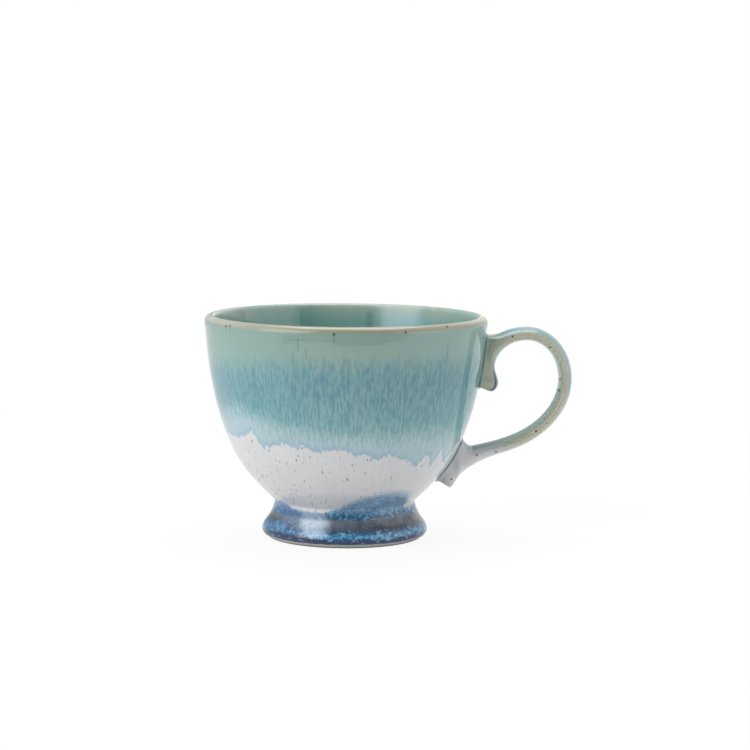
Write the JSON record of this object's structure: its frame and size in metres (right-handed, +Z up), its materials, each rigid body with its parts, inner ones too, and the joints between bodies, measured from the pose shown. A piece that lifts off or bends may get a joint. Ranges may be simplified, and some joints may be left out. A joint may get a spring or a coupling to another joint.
{
  "type": "tea cup",
  "caption": "Round footed tea cup: a deep bowl with a rounded lip on a flared, hollow foot, and a looped C-scroll handle with a short spur.",
  "frame": {"origin": "on the cup's axis, in the plane that the foot ring stands on", "axes": "+Z up along the cup's axis, +X towards the handle, which lies in the XZ plane"},
  "size_m": [0.1432, 0.11, 0.0867],
  "materials": {
    "glaze": "gloss reactive glaze over stoneware: celadon at the rim, streaky teal, white belly, cobalt foot"
  },
  "bodies": {
    "root": {"cup": "glaze"}
  },
  "joints": []
}
